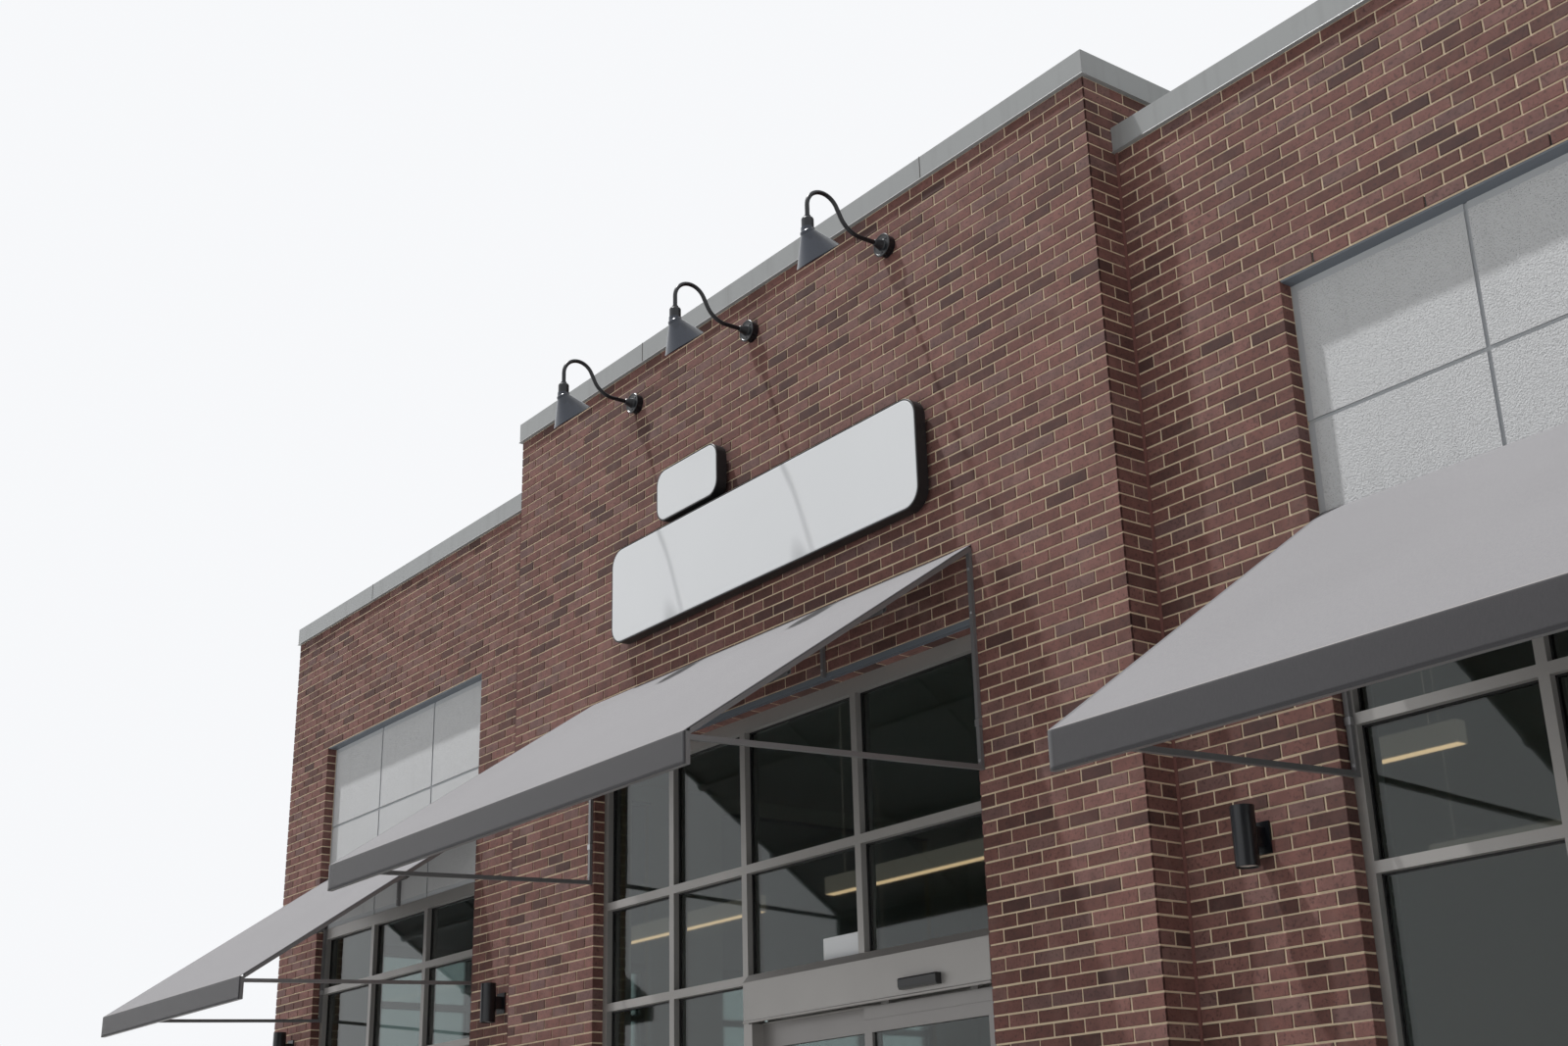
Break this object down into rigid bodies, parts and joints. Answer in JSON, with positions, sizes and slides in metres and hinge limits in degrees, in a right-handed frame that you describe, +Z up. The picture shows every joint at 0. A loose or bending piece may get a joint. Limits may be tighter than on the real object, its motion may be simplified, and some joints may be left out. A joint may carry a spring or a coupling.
{
  "type": "corner shop building",
  "caption": "One-storey brick corner shop with a tall entrance bay between lower wings, sloped awnings, sliding glass door, gooseneck sign lamps and a flat roof.",
  "frame": {"origin": "on the ground under the middle of the entrance bay, in the plane of the wings' brick face", "axes": "+X to the right along the front as seen from the street, +Y into the building, +Z up"},
  "size_m": [15.175, 10.398, 7.194],
  "materials": {
    "concrete": "smooth",
    "roof_membrane": "matte",
    "brick": "rough",
    "lintel_steel": "satin",
    "coping": "satin",
    "render": "rough",
    "cast_stone": "smooth",
    "frame_aluminium": "satin",
    "door_aluminium": "satin",
    "glazing": "polished",
    "sensor_plastic": "gloss",
    "awning_tube": "satin",
    "awning_fabric": "woven",
    "black_metal": "satin"
  },
  "bodies": {
    "building": {"floor_slab": "concrete", "roof_deck": "roof_membrane", "entrance_piers": "brick", "entrance_head": "brick", "entrance_returns": "brick", "left_wing_piers": "brick", "left_wing_head": "brick", "right_wing_piers": "brick", "right_wing_head": "brick", "side_piers": "brick", "side_heads": "brick", "back_piers": "brick", "back_head": "brick", "window_aprons": "brick", "steel_lintels": "lintel_steel", "entrance_coping": "coping", "low_coping": "coping", "left_wing_panel": "render", "right_wing_panel": "render", "side_and_back_panels": "render", "side_screen_frame": "frame_aluminium", "over_door_frame": "frame_aluminium", "door_jambs": "frame_aluminium", "storefront_glass": "glazing", "wing_window_frames": "frame_aluminium", "wing_window_glass": "glazing", "side_and_back_frames": "frame_aluminium", "side_and_back_glass": "glazing", "window_sills": "cast_stone", "door_header": "frame_aluminium", "door_sensor": "sensor_plastic", "door_threshold": "frame_aluminium", "fixed_leaf": "door_aluminium", "fixed_leaf_glass": "glazing", "entrance_awning_frame": "awning_tube", "entrance_awning_cover": "awning_fabric", "left_awning_frame": "awning_tube", "left_awning_cover": "awning_fabric", "right_awning_frame": "awning_tube", "right_awning_cover": "awning_fabric", "lamp_arms": "black_metal", "lamp_shades": "black_metal", "wall_sconces": "black_metal"},
    "sliding_door": {"sliding_leaf": "door_aluminium", "sliding_leaf_glass": "glazing"}
  },
  "joints": [
    {"name": "door_slide", "type": "slide", "parent": "building", "child": "sliding_door", "axis": [-1, 0, 0], "range_m": [0, 0.98]}
  ]
}
